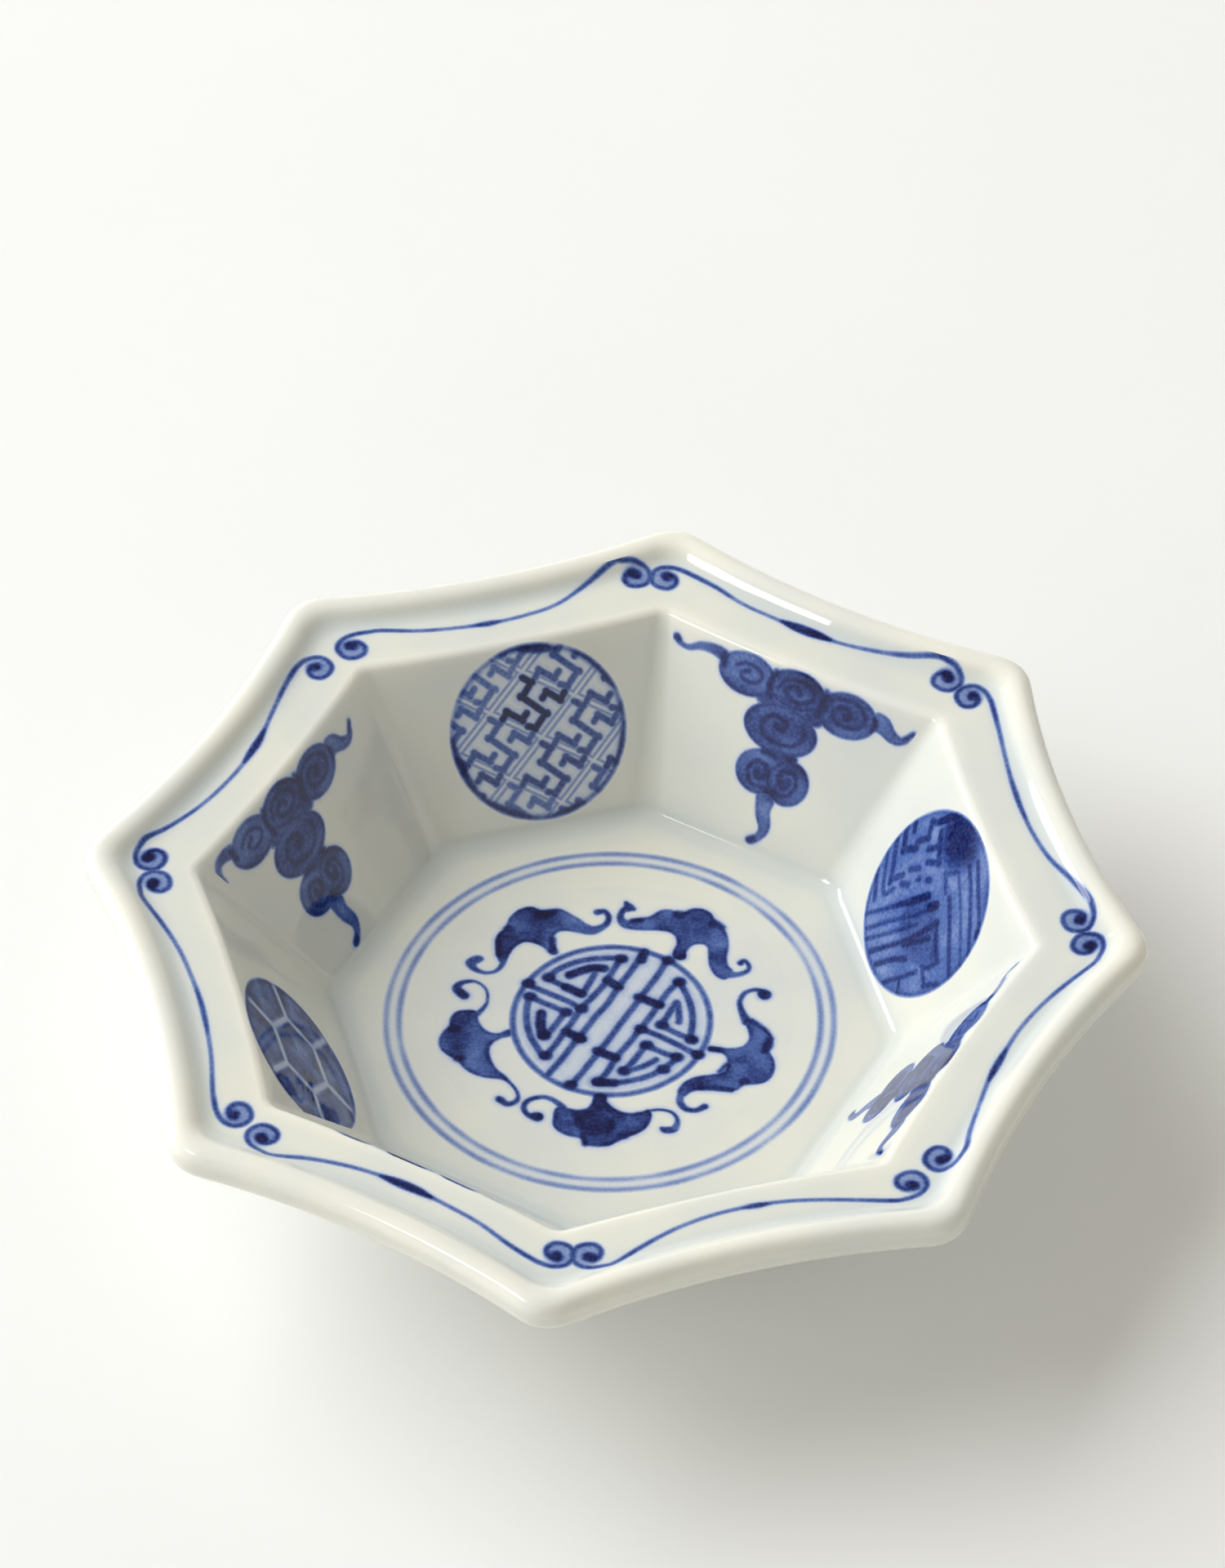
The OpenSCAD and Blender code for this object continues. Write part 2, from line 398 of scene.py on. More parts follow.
def over(*layers):
    """Layers of thin stain over each other: what each lets through is multiplied."""
    clear = 1.0
    for layer in layers:
        clear = clear * (1 - np.clip(layer, 0, 1))
    return 1 - clear


def strongest(x, *layers):
    """The densest of the layers at each place, for strokes of one brushload that run into each other."""
    best = np.zeros_like(x)
    for layer in layers:
        best = np.maximum(best, layer)
    return best


def strokes(x, y, lines, width=1, tone=.65, soft=.3):
    """The densest of several strokes of one brushload at each place."""
    return strongest(x, *(brush(x, y, line, width, tone, soft) for line in lines))


def in_rows(many, lines):
    """Lines that are written as plain runs of numbers, as rows of so many numbers each."""
    return [np.reshape(line, (-1, many)) for line in lines]


def oval(cx, cy, rx, ry):
    """Sixteen places round an ellipse."""
    t = np.arange(16) * math.pi / 8
    return np.stack([cx + rx * np.cos(t), cy + ry * np.sin(t)], axis=1)


# Round fret in the middle of the floor: its ring, then lines, short dark rungs and dots of gathered cobalt
FRET_AT, FRET_R, FLOOR_DISC_R, FLOOR_DISC_STEPS = (-.25, -.4), 13.6, 25.2, 280
FRET_LINES = in_rows(2, [
    [2.7, 12.8, 1.3, 9, .2, 6.5, -1, 3, -2.5, 0, -4, -3.5, -4.7, -4.9, -6, -8, -7.7, -11.5],
    [6.1, 11.7, 5, 8.5, 3.5, 5, 2.3, 2, 1, -1, -.2, -4, -1.3, -6.5, -3, -10.3, -4.4, -13],
    [-.4, 11.2, -1.4, 8, -2.4, 5.3, -3.7, 3, -4.7, 1.2, -5.5, -1.2, -6.3, -3.1, -7.4, -6, -8.5, -8],
    [8.1, 7.8, 7, 6, 6, 3.7, 5, 1, 3.9, -1.5, 2.8, -4, 1.3, -7, .3, -10, -.7, -11.7],
    [-12.9, 4.8, -9, 3.3, -6.3, 2.2, -5, 1.2], [-10.1, 6.3, -8.5, 5.5, -7, 4.8, -4.9, 3.9],
    [-4.8, 4, -4.2, 5.9, -3.6, 7.8], [-10, 6.4, -8.8, 8, -6.8, 9.5, -4.5, 10.5, -2.2, 11, -.5, 11.1],
    [-12.2, 2.6, -10.5, 1.9, -8.5, 1.1, -6.7, .3], [-6.8, .3, -7.5, -1.5, -8.3, -3.3, -9.2, -4.3],
    [-12, 2.5, -12.1, .5, -11.8, -2, -11, -4.5, -9.8, -6.5, -8.7, -8],
    [8.1, 7.8, 9.4, 5.7, 10.4, 3.2, 10.9, .5, 10.9, -2, 11, -2.7], [11, -2.4, 9.5, -1.9, 8, -1.2, 6.6, -.4],
    [6.6, -.4, 7.3, 1.3, 7.9, 3, 8.3, 4, 8.7, 2.5, 9, 1, 9, .4],
    [3.9, -1.5, 6, -2.2, 8.5, -3.3, 10.8, -4.5, 12.3, -5.2],
    [5, -4.3, 6.5, -5, 8, -5.6, 9.4, -6, 9, -7, 7.8, -8.3], [5, -4.3, 4.3, -6, 3.4, -8, 2.5, -9.4],
    [2.5, -9.4, 4.5, -8.6, 6, -7.5, 6.7, -6.8], [-.8, -11.8, 1.5, -11.7, 4, -10.9, 6, -9.9, 7.8, -8.5],
])
FRET_RUNGS = in_rows(2, [
    [-1.7, 6.9, 0, 5.8], [-6.2, -3.2, -3.9, -4.3], [2.9, 4.3, 6, 3.2], [-1.5, -6.2, 1.2, -7.2],
    [-7, 7.2, -5.5, 8.2, -4, 8.9, -2.5, 9], [-9.2, -4.3, -9.8, -2.5, -10, -.3], [2.7, 12.7, 2.5, 11.2],
    [-7.2, 4.9, -4.9, 3.9], [-.8, -11.8, 1.5, -11.7],
])
FRET_DOTS = np.reshape([
    -4.3, -4.2, 6.1, 11.6, -4.4, -12.8, -.4, 11.1, -4.7, 1.2, -8.5, -7.9, 8.1, 7.8, 3.9, -1.5, -.7, -11.7,
    -12.6, 5, -10, 6.4, -12.1, 2.6, -6.7, .3, -9.2, -4.3, 11, -2.6, 6.6, -.4, 12.2, -5.2, 5, -4.3, 9.4, -6,
    7.8, -8.4, 2.5, -9.4,
], (-1, 2))

# Bats round the fret: tone, outline of the body, curls as (x, y, width), dark touches as (x, y, width)
BATS = [
    (.62, [
        -14, 19.3, -12.2, 18.7, -10.2, 19.4, -8, 18.4, -6.2, 17.1, -5.6, 15.2, -7.2, 15.3, -9, 15.3,
        -10, 14.6, -10.1, 13.2, -9.4, 11.8, -9.2, 11, -10.1, 10.7, -11.2, 11.8, -12.6, 12.5, -14, 12.6,
        -15.1, 11.7, -15.8, 10.2, -16.1, 8.8, -16.8, 8.2, -17.6, 9.6, -18, 11.5, -18, 13.4, -17.2, 14.8,
        -17, 15.6, -16.7, 17, -15.6, 18.6,
    ], [
        [-7, 16.3, 2.2, -5, 15.9, 1.6, -3.4, 17, 1, -3, 18.5, .8, -3.7, 19.6, .8, -4.7, 19.4, 1.1],
        [-16.6, 9.5, 1.2, -16.6, 8, .8, -17.3, 6.7, .6, -18.7, 6.2, .6, -20.2, 6.7, .9, -20.9, 7.8, 1.5,
         -20.1, 8.6, 1.4, -19.5, 8.7, .5],
    ], [
        [-12.6, 17.8, 1.8, -11.6, 18.2, 1.6, -10.5, 18.7, .8], [-16.7, 14.8, 1.2, -16.4, 14.6, 1],
        [-10.3, 13.5, 1, -10, 11.5, .9], [-17.7, 12.5, .7, -17.2, 9.8, .9],
    ]),
    (.6, [
        5.4, 21.1, 6.8, 20.6, 8.3, 21.6, 9.6, 21.8, 11, 21.2, 11.8, 19.9, 12.7, 19, 13.7, 17.6, 14.2, 15.5,
        14.2, 13, 14.6, 11.6, 15.3, 10.8, 15, 9.6, 14.2, 9, 13, 9.6, 12, 11.2, 11.6, 13.2, 11.3, 14.7,
        10.4, 15.2, 9.2, 14.8, 8.5, 13.5, 8.5, 12.3, 7.7, 11.9, 6.8, 12.3, 6.7, 13.4, 7, 14.8, 6.6, 16.2,
        5.6, 16.9, 4, 17, 2, 16.8, .2, 16.8, -.6, 17.4, .2, 18.6, 1.6, 19.1, 2.8, 19.6, 4, 20.8,
    ], [
        [1, 17.6, 1.8, -.6, 17.7, 1.5, -1.4, 18.8, 1, -1.2, 20.1, .9, -.4, 20.8, 1.4],
        [-1, 21.7, .5, -.5, 21, 1.2, .2, 20.6, .7],
        [14.8, 10, 1.4, 16.2, 10.2, .9, 17.3, 11, .7, 17.4, 12, .6, 16.7, 12.8, .7, 16.2, 12.3, .9],
    ], [
        [6.5, 20.3, 1.5, 7, 20.3, 1.4], [11.7, 19.2, 1.6, 13, 18.7, .8], [.3, 18.3, .8, 1.5, 18.6, .8],
        [7.6, 12.9, 1.5, 7.8, 12.7, 1.4],
    ]),
    (.64, [
        17.6, 3.2, 18.6, 2.2, 20, 1.2, 21.3, .2, 22.2, -1.2, 22.3, -2.6, 22, -3.5, 22.7, -4.8, 23, -6.2,
        22.8, -7.8, 22, -9, 20.7, -9.6, 19.3, -9.8, 18.8, -10.4, 18, -11.1, 16.3, -11.4, 14.5, -11.4,
        13, -11.6, 12, -12.2, 11.3, -13, 10.4, -12.6, 10.5, -11.4, 11.2, -10.2, 12.6, -9.2, 14.4, -8.6,
        16, -8, 16.5, -6.8, 16.3, -5.4, 15.7, -4.6, 14.8, -4.3, 13.7, -4.3, 13.6, -3.6, 14.6, -3.5,
        16.5, -3.5, 18, -3, 18.8, -2, 18.9, -.8, 18.4, .6, 17.6, 2, 17.2, 3,
    ], [
        [18.3, 1.6, 1.4, 17.3, 3.6, .9, 16.9, 5.2, .7, 17.4, 6.8, .7, 18.6, 7.6, .6, 19.6, 7.5, .9,
         20.2, 6.9, 1.8],
        [11.8, -11, 1.8, 10.9, -12.6, 1.1, 10.9, -14, 1, 11.8, -15.1, .9, 13.2, -15.2, .8, 14.3, -14.4, 1],
    ], [
        [21.6, -1.2, 1, 21.3, -3.4, 1], [19.1, -9.2, 1.4, 19.3, -9.2, 1.3],
        [13.5, -11.1, .8, 15.5, -10.8, .8, 17.5, -11, .8], [14, -3.9, .9, 15, -4, .9],
        [15.6, -7.9, .6, 16.4, -6.5, .6], [19, 2, .5, 21, .5, .5, 22, -1, .5],
        [19.9, 7, 1.4, 20.2, 6.8, 1.6],
    ]),
    (.72, [
        -.8, -14, .7, -14, 1, -15.2, 2.2, -16.3, 4, -16.8, 5.8, -16.4, 6.8, -15.9, 7.3, -16.6, 7.3, -17.8,
        6.8, -19.2, 5.8, -20.3, 4.5, -21.1, 3.4, -22, 2.2, -22.9, .6, -23.3, -.8, -23.1, -1.8, -22.1,
        -3.2, -21.9, -4.7, -21.3, -5.7, -20.3, -5.9, -18.8, -5.8, -17.3, -5, -16.5, -4.2, -16.9,
        -2.8, -17.1, -1.6, -16.7, -1, -15.6,
    ], [
        [-4.8, -16.9, 1, -6.2, -15.8, .8, -7.8, -15.4, .7, -9.6, -16.2, .7, -10.1, -17.6, .8,
         -9.3, -18.8, .8, -8, -19, 1.5],
        [6.8, -16.1, .4, 8.4, -15.7, .35, 10, -16, .4, 10.9, -17.2, .6, 10.7, -18.8, 1.1, 9.6, -19.2, 1.1,
         9, -19, .6],
    ], [
        [.6, -15.5, .8, 1.8, -16.6, .8], [-1.5, -21, .8, -1, -23, .8], [3.8, -20.9, 1, 4.2, -20.9, 1],
        [-1.6, -18.6, 3.2, -.3, -19.2, 4.4, 1, -19.4, 3.2], [-8.4, -19, 1.2, -8, -19, 1.4],
    ]),
    (.62, [
        -18.9, -1, -20.5, -1, -21.7, -1.5, -22.3, -2.8, -22.3, -4.2, -23, -5.4, -23.3, -7, -22.8, -8.5,
        -21.5, -9.6, -20.3, -10.2, -19.3, -11.4, -17.8, -12.4, -15.8, -12.9, -14, -12.9, -12.6, -13.3,
        -13.3, -12.3, -14.8, -11, -15.8, -9.3, -16.2, -7.6, -15.8, -6.4, -14.8, -5.5, -13.7, -4.9,
        -14, -3.8, -15.2, -4.6, -16.6, -4.6, -17.8, -3.7, -18.5, -2.4,
    ], [
        [-18.8, -1.6, .9, -18, -.2, .6, -17.7, 1.2, .35, -18.2, 3.2, .35, -19.8, 4.4, .5, -21.6, 4, .8,
         -22.2, 2.8, 1.3, -21, 1.6, 1.3],
        [-13.3, -12.7, .6, -12, -14, .4, -11.2, -15.4, .5, -11.3, -16.6, .7, -12.4, -17.2, .9,
         -13.6, -16.5, 1],
    ], [
        [-21.6, -4.6, 1.4, -21.4, -4.6, 1.3], [-20.2, -9.8, 1.4, -20, -9.8, 1.3],
        [-21.4, 2, 1.2, -21, 1.7, 1.2], [-13.4, -16.6, .9, -13.6, -16.5, .9],
    ]),
]


def floor_painting(x, y):
    """Round fret in a ring, with five bats round it."""
    out = np.hypot(x - FRET_AT[0], y - FRET_AT[1]) - FRET_R
    ring = .57 * fade(.4 - np.abs(out), .55)
    haze = .085 * fade(-out, .8)
    lines = strongest(x, ring, strokes(x, y, FRET_LINES, .95, .64))
    rungs = strokes(x, y, FRET_RUNGS, 1.4, .9, .35)
    dots = strokes(x, y, [[(cx, cy), (cx + .25, cy)] for cx, cy in FRET_DOTS], 1.6, .9, .4)
    layers = [haze, lines, rungs, dots]
    for tone, body, curls, dark in BATS:
        wing = pooled(depth_in(x, y, np.reshape(body, (-1, 2))), tone + .03, .2)
        wing = strongest(x, wing, strokes(x, y, in_rows(3, curls), 1, tone + .08))
        touch = strokes(x, y, in_rows(3, dark), 1, .8, .4)
        layers.append(over(wing * (1 + .28 * mottle(x, y, 2.6, 4)), touch))
    return over(*layers) * (1 + .12 * mottle(x, y, 1.1, 5))


# Two rings round the floor: how far they stand off the axis to the left, and the radius of each; then the
# ring of glaze that carries them, from and to its radius, and its rows and columns
RING_OFF, RING_IN, RING_OUT = .5, 29.0, 30.9
RING_FROM, RING_TO, RING_ROWS, RING_COLUMNS = 27.6, 32.4, 33, 480


def ring_painting(x, y):
    """Two fine lines round the floor with a breath of blue between them."""
    r = np.hypot(x + RING_OFF, y)
    lines = fade(.34 - np.minimum(np.abs(r - RING_OUT), np.abs(r - RING_IN)), .75)
    between = fade((RING_OUT - RING_IN) / 2 - np.abs(r - (RING_OUT + RING_IN) / 2), .5)
    return over(.32 * lines * (1 + .4 * mottle(x, y, 4, 6)), .07 * between)


# Cloud of a panel: the part of the panel's height that its sheet covers, the steps of the sheet and the
# level of the top lobes; then lobes as middle, half width, half height and tone
CLOUD_LOW, CLOUD_HIGH, CLOUD_STEPS, CLOUD_LEVEL = 1.2, 28.4, (231, 151), 24
CLOUD_LOBES = [
    (-6.6, 24.3, 4.5, 3, .55), (1.2, 24.7, 4.4, 2.8, .66), (9.3, 23.9, 4.6, 3.2, .6),
    (.6, 18.6, 5.7, 3.6, .56), (-.6, 11.9, 3.6, 3.2, .55), (3.9, 11.8, 3.3, 3.3, .6),
]
# Dark seams where the lobes meet
CLOUD_SEAMS = [
    (-2.7, 22.3, 1.7, 1.4, .68), (4.9, 22.1, 1.7, 1.4, .74), (1.2, 22.1, 4, .9, .62),
    (1.8, 15.1, 2.6, 1.1, .7),
]
CLOUD_STEM = np.reshape([
    .2, 9.2, .3, 7.5, .9, 5.8, 1.8, 4.3, 1.6, 3.2, .6, 2.2, 1.2, 1.6, 2.4, 2.4, 3.3, 3.8, 3.4, 5.2, 2.8, 7,
    2.8, 8.8,
], (-1, 2))
CLOUD_TAIL = np.reshape([
    13.2, 25.6, 14.4, 25.9, 15.6, 25.4, 16.6, 24.3, 17.6, 23.7, 18.6, 23.9, 19.5, 24.9, 18.9, 23.2,
    17.6, 22.4, 16.2, 22.5, 15, 23, 14, 23.2, 13, 22.4,
], (-1, 2))
CLOUD_WISP = np.reshape([
    -10, 25.2, 1.8, -11, 25.5, 1.8, -12.5, 25.7, 1.5, -14.5, 25.4, 1.2, -16.2, 24.5, .8, -17.6, 24.5, .7,
    -18.5, 25.1, 1,
], (-1, 3))
# Wisp of the cloud that reaches the corner of its panel and turns down along it
BENT_WISP = np.reshape([
    -9.6, 25.3, 1.9, -10.8, 25.7, 1.9, -12.2, 25.9, 1.6, -13.6, 25.6, 1.3, -14.2, 24.4, 1, -13.9, 23, .7,
], (-1, 3))
CLOUD_SPIRALS = in_rows(3, [
    [-8.6, 24.9, .5, -7.2, 25.7, .6, -5.4, 25.6, .6, -4.3, 24.6, .6, -5.2, 23.5, .6, -6.8, 23.4, .6,
     -7.5, 24.2, .6, -6.5, 24.8, .8],
    [-1.6, 24.2, .6, -.4, 25.9, .7, 2.4, 26.1, .7, 3.9, 24.7, .7, 2.6, 23.3, .7, .4, 23.4, .7,
     -.3, 24.5, .8, 1, 25.1, .9, 1.8, 24.5, 1],
    [5.9, 24.3, .7, 7.3, 25.8, .7, 10.3, 26, .7, 12.1, 24.4, .7, 10.9, 22.6, .7, 8.3, 22.5, .7,
     7.3, 23.8, .7, 8.4, 24.9, .8, 9.8, 24.4, .9, 9.3, 23.6, 1.1],
    [3.6, 20.4, .5, 4.3, 18.8, .6, 3, 17.1, .6, .6, 16.6, .6, -1.7, 17.3, .6, -2.3, 18.9, .7, -1, 20.2, .8,
     .9, 20, .9, 1.1, 18.9, 1, 0, 18.9, 1.2],
    [1.3, 10, .7, -1.2, 9.9, .5, -2.3, 11.6, .6, -1.5, 13.2, .7, .2, 13, .8, .6, 11.7, .9, -.6, 11.2, 1.2,
     -.9, 12, 1],
    [1.7, 10, .7, 4.2, 9.9, .5, 5.2, 11.6, .6, 4.6, 13.3, .7, 2.9, 13.1, .9, 2.6, 11.9, 1.1,
     3.6, 11.3, 1.4, 4, 12, 1.1],
])
CLOUD_DARK = in_rows(3, [
    [-10.7, 25.5, 1.2, -10.3, 24.3, .9], [-2.5, 26.2, .9, -2.9, 24.3, 1, -2.4, 22.6, .9],
    [5.5, 26.1, .9, 5.8, 24.5, 1.4, 5.2, 22.6, 1], [13.4, 24.9, .5, 13.7, 24.1, 1, 13.4, 23.2, .5],
    [-.9, 15, 1, .8, 14.8, .9], [3, 15.2, .9, 3.9, 15.4, .8], [1.2, 9.8, 1, 1.8, 9.6, 1],
    [-18, 24.9, .8, -18.5, 25.1, 1], [.9, 2.2, .8, 1.5, 2.5, 1], [18.4, 23.7, .6, 19.3, 24.6, .7],
])


def cloud_painting(u, v, wisp):
    """Cloud of six lobes with spirals in them, a stem below, and a wisp and a tail to its sides."""
    lobes = [pooled(depth_in(u, v, oval(*lobe[:4])), lobe[4] + .04, .2) for lobe in CLOUD_LOBES]
    seams = [pooled(depth_in(u, v, oval(*seam[:4])), seam[4], 0, .5) for seam in CLOUD_SEAMS]
    stem = pooled(depth_in(u, v, CLOUD_STEM), .56, .14)
    tail = pooled(depth_in(u, v, CLOUD_TAIL), .54, .16)
    wash = strongest(u, *lobes, *seams, stem, tail, brush(u, v, wisp, 1, .56))
    lines = strongest(u, strokes(u, v, CLOUD_SPIRALS, 1, .62, .35), strokes(u, v, CLOUD_DARK, 1, .7, .4))
    return over(wash * (1 + .25 * mottle(u, v, 2.4, 7)), lines)


# Radius of the painted circle, of the disc of glaze that carries it, and the steps of that disc
ROUNDEL_R, ROUNDEL_DISC_R, ROUNDEL_STEPS = 12.6, 13.6, 170


def roundel(u, v, cu, cv, ground, pattern, radius=ROUNDEL_R, dark=.5):
    """Pattern over a pale ground, inside a circle with a dark, uneven edge."""
    depth = radius - np.hypot(u - cu, v - cv)
    inside = fade(depth, .6)
    edge = dark * np.exp(-(np.maximum(depth - .2, 0) / .5) ** 2) * (1 + .8 * mottle(u, v, 5, 9))
    return inside * over(ground * (1 + .2 * mottle(u, v, 3, 8)), pattern, edge)


# Lattice of the key fret: the two edges of a cell, the middle of the darkest cell, the heights of a cell,
# and how many cells it runs each way and how far
KEY_EDGES, KEY_START = np.array([(6.8, -4.8), (-5.5, -5.0)]), np.array([1.0, 18.8])
KEY_HIGH, KEY_RUN, KEY_REACH = (7.6, 6.8), 4, 17
# One cell in shares of its two edges: a stepped line, and two keys that stand apart from it
KEY_STROKES = in_rows(2, [
    [-.42, -.39, -.25, -.38, -.22, -.05, .29, .05, .31, .39, .19, .42],
    [.08, -.2, .07, -.34, .35, -.31, .33, -.47], [.02, .21, .03, .36, -.27, .34, -.25, .5],
])
# Dark touches along the edge of its roundel, as (u, v, width)
KEY_EDGE = in_rows(3, [
    [-11.2, 16, .6, -10.8, 12, 1.6, -9.3, 8.5, 1.2], [-8, 6.5, .6, -5, 4.2, 1.5, -2, 2.8, .5],
    [1, 2.2, .4, 3.5, 2.4, 1.7, 6, 3.4, .5], [9.5, 24.3, .5, 12, 21.6, 1.4, 13.6, 18.6, .5],
    [.5, 26.8, .5, 3, 26.6, 1.5, 5.5, 26, .6], [13.4, 12.5, .5, 12.9, 10.2, 1.2, 11.6, 8, .4],
])


def key_fret_painting(u, v, cu, cv):
    """Key fret: stepped lines and keys in the cells of a slanted lattice, with pale double lines between
    the cells."""
    keys = []
    run = range(-KEY_RUN, KEY_RUN + 1)
    tones = np.random.default_rng(14).uniform(.44, .76, (len(run), len(run)))
    tones[0, 0] = 1
    for i, j in ((i, j) for i in run for j in run):
        place = KEY_START + i * KEY_EDGES[0] + j * KEY_EDGES[1]
        if np.hypot(place[0] - cu, place[1] - cv) < KEY_REACH:
            lines = [np.repeat(line @ KEY_EDGES + place, 2, axis=0) for line in KEY_STROKES]
            keys.append(strokes(u, v, lines, .95, tones[i, j], .25))
    gaps = []
    for share, high in zip(np.linalg.inv(KEY_EDGES.T), KEY_HIGH):
        way = share[0] * (u - KEY_START[0]) + share[1] * (v - KEY_START[1]) + .5
        gaps.append(np.abs(way - np.round(way)) * high)
    rule = .34 * fade(.16 - np.abs(np.minimum(*gaps) - .38), .3)
    dark = strokes(u, v, KEY_EDGE, 1, .75, .4)
    return roundel(u, v, cu, cv, .07, over(strongest(u, rule, *keys), dark))


# Brushwork of the striped roundel: places of a line, its width and its tone
STRIPES = [
    ([3.5, 25.3, 7, 23.4, 10.5, 21.6, 13.4, 19.8], .8, .5), ([12.4, 20.2, 13.4, 19.7], 1.3, .7),
    ([2.8, 23.7, 6, 22.2, 10, 19.8, 13.8, 17.2], .8, .5),
    ([1.8, 21.6, 6, 19.8, 10, 17.6, 14, 15.2], .6, .36),
    ([3.8, 18.4, 7, 16.7, 10.5, 14.6, 14.3, 12.5], .9, .5), ([5.3, 14.6, 7.5, 13.2, 10.2, 11.9], .9, .5),
    ([-6.7, 3.8, -4.2, 7.7, -1.6, 11.8, .4, 15.1], [.6, .7, 1.2, 1.3], [.5, .5, .7, .75]),
    ([-4.6, 3, -2, 7.4, .6, 11.2, 2.2, 14], .7, .45), ([2.2, 14.6, 2.9, 15.8], 1.4, .75),
    ([-3.4, 2, -1, 5.8, 1.2, 9.3, 2.4, 11.4], .7, .42),
    ([-1.1, 2, 1.4, 6.1, 3.4, 9.6, 5.2, 14.7], [.9, .8, .9, 1.1], .6),
    ([1.4, 2, 3.4, 5.2, 5.2, 7.2], .9, .6), ([3, 7.9, 4.5, 10, 5.9, 12.2], 1, .6),
    ([5, 2.1, 6.8, 5, 8.4, 8], .8, .5), ([6.8, 4.9, 8.6, 3.6], .7, .5), ([-12.1, 18.5, -10.3, 17.1], 1, .5),
    ([-12, 11.6, -7, 8.1, -5.8, 10], .8, .42), ([-10.9, 8.6, -7.4, 6.2], .9, .5),
    ([-10, 23.2, -8.3, 24.5], 1.2, .65), ([-7.6, 21.9, -6.3, 24.2, -5.2, 26.2], 1.2, .7),
    ([-1.4, 16.4, -1.8, 16], 1, .6), ([-4.6, 15.6, -5.9, 13.9], .9, .5), ([-3.1, 14.9, -3.4, 14.5], .8, .5),
    ([-4.1, 12.6, -5.3, 11.6], 1, .5),
]
STEPS = [
    ([10.3, 11.9, 9.7, 10.2, 8.8, 9.3, 11.3, 8.2, 12.8, 10.2], .8, .5),
    ([-12.4, 16.4, -9.5, 14.2, -7.8, 16.2], 1.1, .6), ([-12.5, 14.2, -7.5, 10.2, -6.3, 12.3], 1, .5),
    ([-7.6, 21.9, -8.7, 20.7, -7.3, 19, -8.3, 17], 1, .6), ([-6, 21.4, -4.4, 20.2, -5.6, 18.4], 1, .6),
    ([-4.4, 20.2, -2.3, 19, -4, 17.4], 1, .55), ([1.5, 21, .2, 19.4, 2.4, 18.2], .8, .4),
]
STRIPE_DARK = np.reshape([
    -6.4, 24.4, -4.5, 27, 0, 27, 2.6, 25.2, 2, 22.6, -.4, 20.4, -3, 20.4, -5.4, 21.8,
], (-1, 2))
STRIPE_SHADE = np.reshape([
    -1.5, 10.5, .4, 15.2, 5, 14.6, 10, 12, 8, 9, 4, 7.5, 1, 8,
], (-1, 2))


def stripe_painting(u, v, cu, cv):
    """Stripes slanting down to the right above, slanted bars below and stepped keys to the left, on a wash
    that is darkest at the top and palest at the bottom left."""
    lines = [brush(u, v, np.reshape(line, (-1, 2)), width, tone, .28) for line, width, tone in STRIPES]
    for line, width, tone in STEPS:
        lines.append(brush(u, v, np.repeat(np.reshape(line, (-1, 2)), 2, axis=0), width, tone, .28))
    dark = pooled(depth_in(u, v, STRIPE_DARK), .82, 0, 2)
    shade = pooled(depth_in(u, v, STRIPE_SHADE), .28, 0, .9)
    ground = .39 - .08 * np.clip((10 - v) / 4, 0, 1) * np.clip((4 - u) / 4, 0, 1)
    return roundel(u, v, cu, cv, ground, over(strongest(u, *lines), dark, shade), 13.2, .28)


def tortoise_painting(u, v, cu, cv):
    """Shell of hexagons with points to the left and right, tilted a little and drawn out sideways, each dark
    at its edge and lighter in its middle, with pale lines between them, in a roundel a tenth lower than
    wide."""
    flat, stretch, tilt = 9.6, 1.15, .14
    wide = flat * math.sqrt(3)
    p, q = (u - cu) / stretch, v - cv
    p, q = p * math.cos(tilt) + q * math.sin(tilt), q * math.cos(tilt) - p * math.sin(tilt)
    gaps = []
    for shift in (0, 1):
        i = np.round(q / flat - shift / 2) + shift / 2
        j = np.round(p / wide - shift / 2) + shift / 2
        up, along_row = np.abs(q - flat * i), np.abs(p - wide * j)
        gaps.append(flat / 2 - np.maximum(up, .5 * up + .866 * along_row))
    depth = np.maximum(*gaps)
    cell = fade(depth - .55, .6) * (.5 + .36 * np.exp(-np.maximum(depth - .5, 0) / 1.1))
    return roundel(u, cv + 1.1 * (v - cv), cu, cv, .17, cell * (1 + .4 * mottle(u, v, 1.6, 11)))


# Band of glaze along the flange: from and to its distance past the crease, the least gap between two rows
# at its ends, the most between any two, and its hidden rows
RIM_FROM, RIM_TO, RIM_GAP, RIM_ROW, RIM_ROOT_ROWS = .8, 9.9, .02, .2, 6
